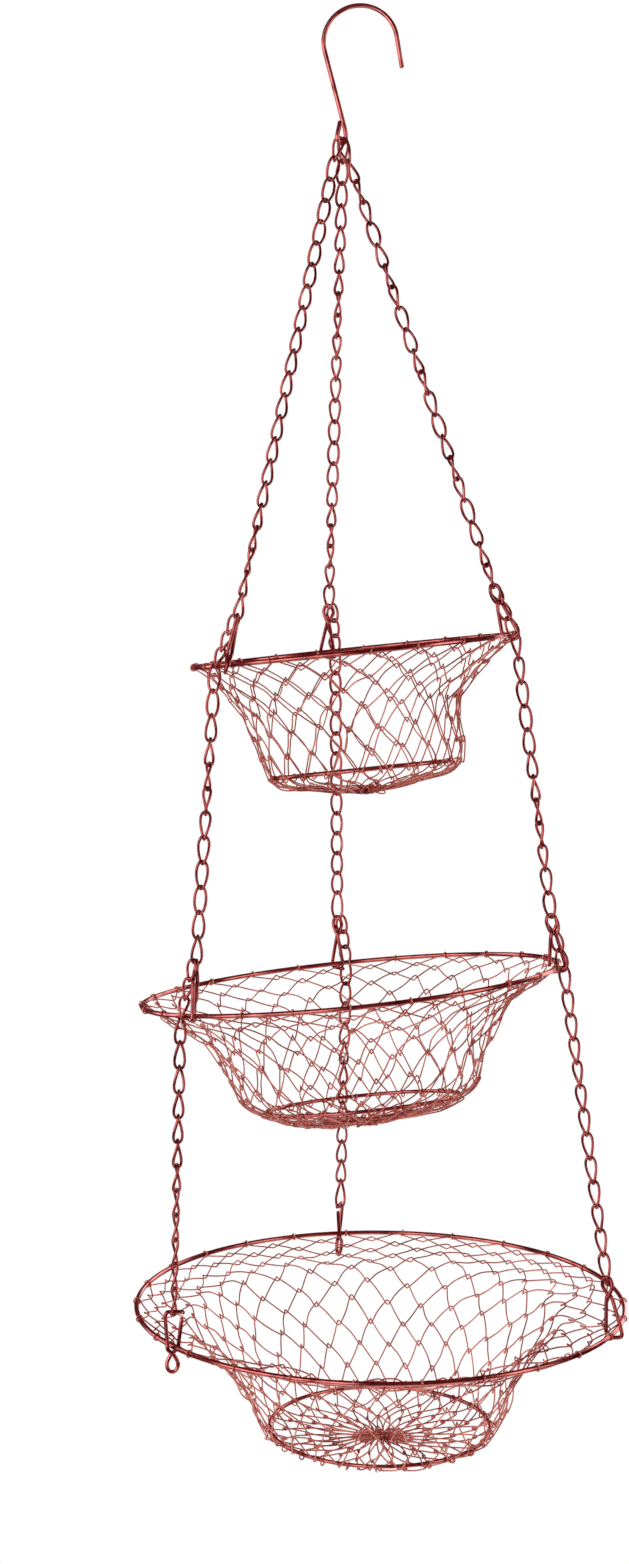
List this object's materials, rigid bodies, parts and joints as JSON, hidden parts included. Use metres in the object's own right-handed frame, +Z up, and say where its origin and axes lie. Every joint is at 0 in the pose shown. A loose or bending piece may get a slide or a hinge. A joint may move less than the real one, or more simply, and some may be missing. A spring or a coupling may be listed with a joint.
{
  "type": "wire produce basket",
  "caption": "Hanging wire produce basket: a hook and three chains carry round wire-net bowls that widen downwards, hung from their rims by spring clips.",
  "frame": {"origin": "the point inside the hook's crown that a rod touches", "axes": "+Z up, +X to the right as the hook opens to the right, +Y towards the back; the bowls hang slightly tilted"},
  "size_m": [0.2522, 0.2539, 0.7426],
  "materials": {
    "hook_copper": "polished copper plating on steel wire",
    "chain_copper": "polished copper plating on twisted links",
    "clip_copper": "polished copper plating on spring wire",
    "rim_copper": "polished copper plating on thick wire",
    "net_copper": "copper plating on thin wire",
    "base_copper": "copper plating on wire"
  },
  "bodies": {
    "hook": {"hook": "hook_copper"},
    "hook_links": {"hook_link_left": "chain_copper", "hook_link_back": "chain_copper", "hook_link_right": "chain_copper"},
    "top_basket": {"top_rim": "rim_copper", "top_net": "net_copper", "top_clip_left": "clip_copper", "top_clip_back": "clip_copper", "top_clip_right": "clip_copper", "top_neck_chain_left": "chain_copper", "top_neck_chain_back": "chain_copper", "top_neck_chain_right": "chain_copper", "upper_chain_left": "chain_copper", "upper_chain_back": "chain_copper", "upper_chain_right": "chain_copper"},
    "top_base": {"top_base_ring": "base_copper", "top_centre_tie": "base_copper"},
    "middle_first_link_left": {"middle_first_link_left": "chain_copper"},
    "middle_chain_left": {"middle_chain_left": "chain_copper"},
    "middle_first_link_back": {"middle_first_link_back": "chain_copper"},
    "middle_chain_back": {"middle_chain_back": "chain_copper"},
    "middle_last_link_back": {"middle_last_link_back": "chain_copper"},
    "middle_first_link_right": {"middle_first_link_right": "chain_copper"},
    "middle_chain_right": {"middle_chain_right": "chain_copper"},
    "middle_basket": {"middle_rim": "rim_copper", "middle_net": "net_copper", "middle_clip_left": "clip_copper", "middle_clip_back": "clip_copper", "middle_clip_right": "clip_copper", "middle_neck_chain_left": "chain_copper", "middle_neck_chain_back": "chain_copper", "middle_neck_chain_right": "chain_copper"},
    "middle_base": {"middle_base_ring": "base_copper", "middle_centre_tie": "base_copper"},
    "bottom_first_link_left": {"bottom_first_link_left": "chain_copper"},
    "bottom_chain_left": {"bottom_chain_left": "chain_copper"},
    "bottom_first_link_back": {"bottom_first_link_back": "chain_copper"},
    "bottom_chain_back": {"bottom_chain_back": "chain_copper"},
    "bottom_last_link_back": {"bottom_last_link_back": "chain_copper"},
    "bottom_first_link_right": {"bottom_first_link_right": "chain_copper"},
    "bottom_chain_right": {"bottom_chain_right": "chain_copper"},
    "bottom_basket": {"bottom_rim": "rim_copper", "bottom_net": "net_copper", "bottom_clip_left": "clip_copper", "bottom_clip_back": "clip_copper", "bottom_clip_right": "clip_copper"},
    "bottom_base": {"bottom_base_ring": "base_copper", "bottom_centre_tie": "base_copper"}
  },
  "joints": [
    {"name": "hook_swing_front_back", "type": "hinge", "parent": "hook", "child": "hook_links", "pos_m": [-0.01054, -0.00268, -0.07076], "axis": [1, 0, 0], "range_deg": [-10, 10]},
    {"name": "hook_swing_side", "type": "hinge", "parent": "hook_links", "child": "top_basket", "pos_m": [-0.01054, -0.00268, -0.07076], "axis": [0, 1, 0], "range_deg": [-10, 10]},
    {"name": "top_base_lift", "type": "slide", "parent": "top_basket", "child": "top_base", "axis": [-0.1028, -0.0052, 0.9947], "range_m": [0, 0.04], "deforming": ["top_net"]},
    {"name": "middle_left_link_swing", "type": "hinge", "parent": "top_basket", "child": "middle_first_link_left", "pos_m": [-0.07373, -0.05202, -0.34003], "axis": [1, 0, 0], "range_deg": [-5.27, 5.27]},
    {"name": "middle_left_chain_swing", "type": "hinge", "parent": "middle_first_link_left", "child": "middle_chain_left", "pos_m": [-0.07442, -0.05361, -0.35191], "axis": [0, 1, 0], "range_deg": [-4.9, 4.9]},
    {"name": "middle_sway_front_back", "type": "hinge", "parent": "top_basket", "child": "middle_first_link_back", "pos_m": [-0.01304, 0.08656, -0.33304], "axis": [1, 0, 0], "range_deg": [-5, 5]},
    {"name": "middle_sway_side", "type": "hinge", "parent": "middle_first_link_back", "child": "middle_chain_back", "pos_m": [-0.01293, 0.08798, -0.34495], "axis": [0, 1, 0], "range_deg": [-5, 5]},
    {"name": "middle_side_level", "type": "hinge", "parent": "middle_chain_back", "child": "middle_last_link_back", "pos_m": [-0.01181, 0.10268, -0.46781], "axis": [0, 1, 0], "range_deg": [-4.43, 4.43]},
    {"name": "middle_front_back_level", "type": "hinge", "parent": "middle_last_link_back", "child": "middle_basket", "pos_m": [-0.0117, 0.1042, -0.48051], "axis": [1, 0, 0], "range_deg": [-4.27, 4.27]},
    {"name": "middle_right_link_swing", "type": "hinge", "parent": "top_basket", "child": "middle_first_link_right", "pos_m": [0.07678, -0.03014, -0.32437], "axis": [1, 0, 0], "range_deg": [-5.22, 5.22]},
    {"name": "middle_right_chain_swing", "type": "hinge", "parent": "middle_first_link_right", "child": "middle_chain_right", "pos_m": [0.07834, -0.02946, -0.33625], "axis": [0, 1, 0], "range_deg": [-4.85, 4.85]},
    {"name": "middle_base_lift", "type": "slide", "parent": "middle_basket", "child": "middle_base", "axis": [-0.101, 0.0332, 0.9943], "range_m": [0, 0.04], "deforming": ["middle_net"]},
    {"name": "bottom_left_link_swing", "type": "hinge", "parent": "middle_basket", "child": "bottom_first_link_left", "pos_m": [-0.08957, -0.07367, -0.51031], "axis": [1, 0, 0], "range_deg": [-4.95, 4.95]},
    {"name": "bottom_left_chain_swing", "type": "hinge", "parent": "bottom_first_link_left", "child": "bottom_chain_left", "pos_m": [-0.08985, -0.07354, -0.52231], "axis": [0, 1, 0], "range_deg": [-4.5, 4.5]},
    {"name": "bottom_sway_front_back", "type": "hinge", "parent": "middle_basket", "child": "bottom_first_link_back", "pos_m": [-0.00666, 0.11138, -0.50806], "axis": [1, 0, 0], "range_deg": [-5, 5]},
    {"name": "bottom_sway_side", "type": "hinge", "parent": "bottom_first_link_back", "child": "bottom_chain_back", "pos_m": [-0.00694, 0.11233, -0.52002], "axis": [0, 1, 0], "range_deg": [-5, 5]},
    {"name": "bottom_side_level", "type": "hinge", "parent": "bottom_chain_back", "child": "bottom_last_link_back", "pos_m": [-0.0096, 0.12135, -0.63302], "axis": [0, 1, 0], "range_deg": [-4.64, 4.64]},
    {"name": "bottom_front_back_level", "type": "hinge", "parent": "bottom_last_link_back", "child": "bottom_basket", "pos_m": [-0.0099, 0.12237, -0.64577], "axis": [1, 0, 0], "range_deg": [-4.58, 4.58]},
    {"name": "bottom_right_link_swing", "type": "hinge", "parent": "middle_basket", "child": "bottom_first_link_right", "pos_m": [0.10151, -0.02619, -0.49249], "axis": [1, 0, 0], "range_deg": [-4.62, 4.62]},
    {"name": "bottom_right_chain_swing", "type": "hinge", "parent": "bottom_first_link_right", "child": "bottom_chain_right", "pos_m": [0.103, -0.02783, -0.50428], "axis": [0, 1, 0], "range_deg": [-4.2, 4.2]},
    {"name": "bottom_base_lift", "type": "slide", "parent": "bottom_basket", "child": "bottom_base", "axis": [0, -0.0366, 0.9993], "range_m": [0, 0.04], "deforming": ["bottom_net"]}
  ],
  "couplings": [
    {"joint": "middle_left_link_swing", "follows": "middle_sway_front_back", "ratio": 1.0336},
    {"joint": "middle_left_chain_swing", "follows": "middle_sway_side", "ratio": 0.9603},
    {"joint": "middle_side_level", "follows": "middle_sway_side", "ratio": -0.8663},
    {"joint": "middle_front_back_level", "follows": "middle_sway_front_back", "ratio": -0.8341},
    {"joint": "middle_right_link_swing", "follows": "middle_sway_front_back", "ratio": 1.025},
    {"joint": "middle_right_chain_swing", "follows": "middle_sway_side", "ratio": 0.9499},
    {"joint": "bottom_left_link_swing", "follows": "bottom_sway_front_back", "ratio": 0.9702},
    {"joint": "bottom_left_chain_swing", "follows": "bottom_sway_side", "ratio": 0.8808},
    {"joint": "bottom_side_level", "follows": "bottom_sway_side", "ratio": -0.9074},
    {"joint": "bottom_front_back_level", "follows": "bottom_sway_front_back", "ratio": -0.896},
    {"joint": "bottom_right_link_swing", "follows": "bottom_sway_front_back", "ratio": 0.904},
    {"joint": "bottom_right_chain_swing", "follows": "bottom_sway_side", "ratio": 0.8192}
  ]
}
